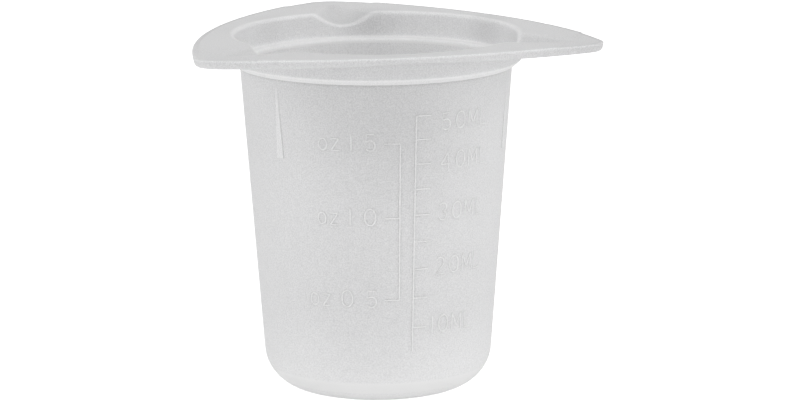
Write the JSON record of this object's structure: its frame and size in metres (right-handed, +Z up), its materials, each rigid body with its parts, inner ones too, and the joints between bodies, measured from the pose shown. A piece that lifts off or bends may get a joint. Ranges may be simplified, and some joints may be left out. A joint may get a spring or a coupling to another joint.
{
  "type": "mixing cup",
  "caption": "Small translucent plastic mixing cup with a tapered round body, stacking shoulder, raised volume scales and a three-cornered flanged rim with pouring spouts.",
  "frame": {"origin": "on the cup's axis, in the plane of the foot ring that it stands on", "axes": "+Z up along the cup's axis; -Y looks out of the front, with the volume scales 13.5 degrees to its +X side"},
  "size_m": [0.0649, 0.0647, 0.0575],
  "materials": {
    "milky_plastic": "satin translucent milky white",
    "milky_plastic_raised": "satin translucent milky white"
  },
  "bodies": {
    "root": {"base_cup": "milky_plastic", "side_wall": "milky_plastic", "shoulder_ring": "milky_plastic", "collar": "milky_plastic", "rim_flange": "milky_plastic", "rim_lip": "milky_plastic_raised", "spout_left": "milky_plastic_raised", "spout_right": "milky_plastic_raised", "spout_back": "milky_plastic_raised", "stack_rib_left": "milky_plastic_raised", "stack_rib_right": "milky_plastic_raised", "stack_rib_back": "milky_plastic_raised", "ml_scale_line": "milky_plastic_raised", "ml_ticks": "milky_plastic_raised", "oz_scale_line": "milky_plastic_raised", "oz_ticks": "milky_plastic_raised"}
  },
  "joints": []
}
